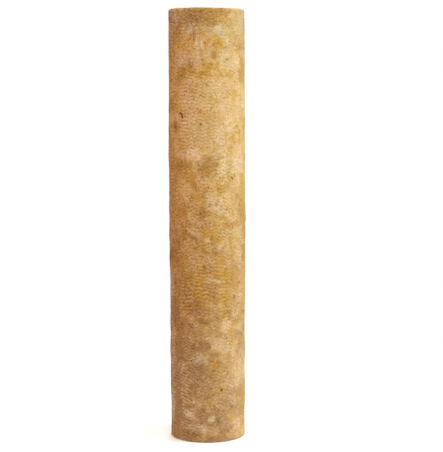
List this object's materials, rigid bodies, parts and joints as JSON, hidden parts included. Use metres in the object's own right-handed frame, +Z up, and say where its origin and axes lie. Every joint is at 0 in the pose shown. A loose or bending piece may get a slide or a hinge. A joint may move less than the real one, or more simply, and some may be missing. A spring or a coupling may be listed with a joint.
{
  "type": "mineral wool pipe insulation section",
  "caption": "Thick-walled tube of wound mineral wool, slit along its length to close round a pipe, with soft rims and a ribbed, mottled brown face.",
  "frame": {"origin": "centre of the bottom end face, where the section stands on the floor", "axes": "+Z up along the section's axis; +Y towards the slit, so the plain side faces -Y"},
  "size_m": [0.176, 0.176, 1],
  "materials": {
    "mineral_wool": "matte cured mineral wool, golden brown with paler and greyer patches, fine wavy ribs round the outside"
  },
  "bodies": {
    "root": {"wool_section": "mineral_wool"}
  },
  "joints": []
}
